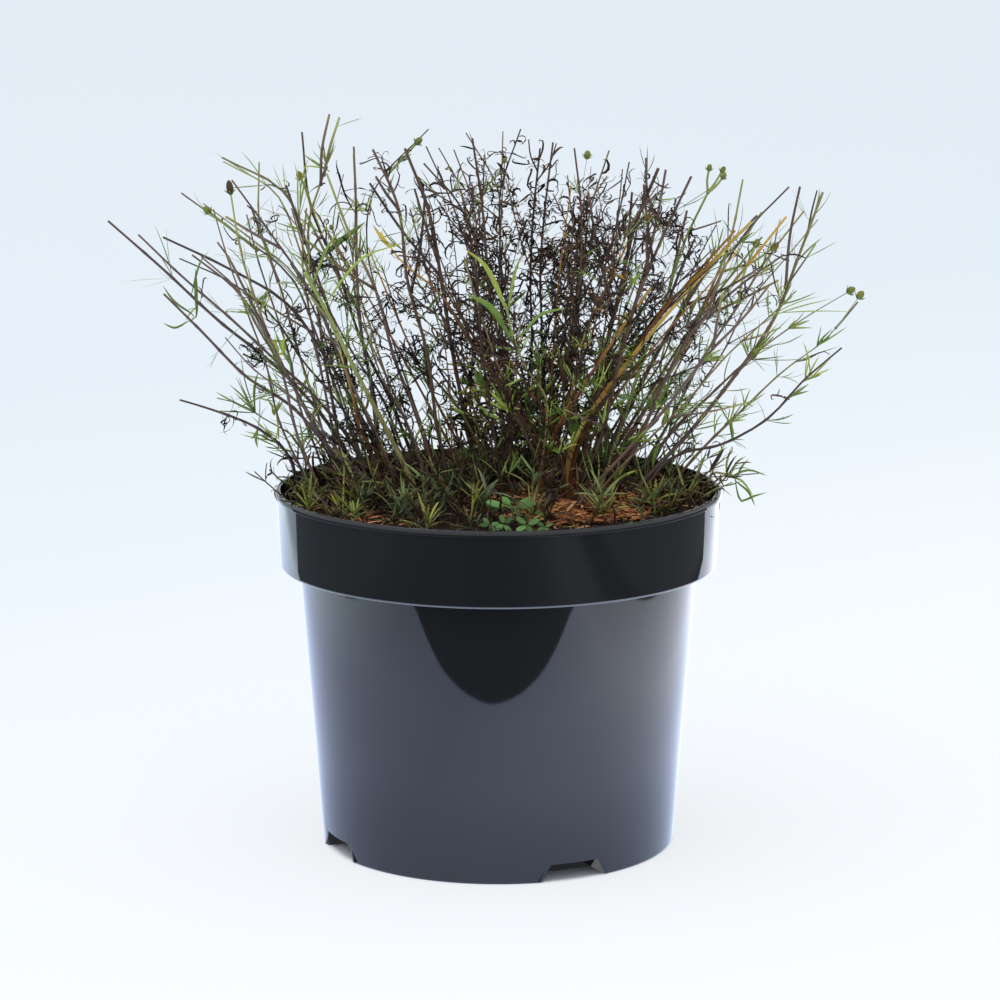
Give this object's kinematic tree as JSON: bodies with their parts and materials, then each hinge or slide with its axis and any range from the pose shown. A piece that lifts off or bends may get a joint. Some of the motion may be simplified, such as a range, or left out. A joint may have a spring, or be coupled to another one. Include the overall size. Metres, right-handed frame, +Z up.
{
  "type": "potted threadleaf coreopsis",
  "caption": "Bushy threadleaf coreopsis, cut back to a dome of thin forked stems with thread leaves, growing in a round black nursery pot with a deep rim band and foot notches.",
  "frame": {"origin": "centre of the pot's underside, on the surface that the pot stands on", "axes": "+Z up along the pot's axis; +X to the right of the pictured front; -Y towards the pictured front"},
  "size_m": [0.3193, 0.2147, 0.3091],
  "materials": {
    "pot": "black, satin body and glossier rim band",
    "compost": "rough, dark peat with orange-brown bark chips",
    "dry_stem": "dry, dull dark brown",
    "green_stem": "fresh, slightly waxy green",
    "straw_stem": "dry straw yellow and orange",
    "basal_leaf": "dark green, satin",
    "weed_leaf": "bright green, satin"
  },
  "bodies": {
    "root": {"basal_sprout_01": "basal_leaf", "basal_sprout_02": "basal_leaf", "basal_sprout_03": "basal_leaf", "basal_sprout_04": "basal_leaf", "basal_sprout_05": "basal_leaf", "basal_sprout_06": "basal_leaf", "basal_sprout_07": "basal_leaf", "basal_sprout_08": "basal_leaf", "compost": "compost", "dry_stem_01": "dry_stem", "dry_stem_02": "dry_stem", "dry_stem_03": "dry_stem", "dry_stem_04": "dry_stem", "dry_stem_05": "dry_stem", "dry_stem_06": "dry_stem", "dry_stem_07": "dry_stem", "dry_stem_08": "dry_stem", "dry_stem_09": "dry_stem", "dry_stem_10": "dry_stem", "dry_stem_11": "dry_stem", "dry_stem_12": "dry_stem", "dry_stem_13": "dry_stem", "dry_stem_14": "dry_stem", "dry_stem_15": "dry_stem", "dry_stem_16": "dry_stem", "dry_stem_17": "dry_stem", "dry_stem_18": "dry_stem", "dry_stem_19": "dry_stem", "dry_stem_20": "dry_stem", "dry_stem_21": "dry_stem", "dry_stem_22": "dry_stem", "dry_stem_23": "dry_stem", "dry_stem_24": "dry_stem", "dry_stem_25": "dry_stem", "dry_stem_26": "dry_stem", "dry_stem_27": "dry_stem", "dry_stem_28": "dry_stem", "dry_stem_29": "dry_stem", "dry_stem_30": "dry_stem", "dry_stem_31": "dry_stem", "green_stem_01": "green_stem", "green_stem_02": "green_stem", "green_stem_03": "green_stem", "green_stem_04": "green_stem", "green_stem_05": "green_stem", "green_stem_06": "green_stem", "green_stem_07": "green_stem", "green_stem_08": "green_stem", "green_stem_09": "green_stem", "green_stem_10": "green_stem", "green_stem_11": "green_stem", "green_stem_12": "green_stem", "green_stem_13": "green_stem", "green_stem_14": "green_stem", "green_stem_15": "green_stem", "pot": "pot", "straw_stem_01": "straw_stem", "straw_stem_02": "straw_stem", "weed_seedling": "weed_leaf"}
  },
  "joints": []
}
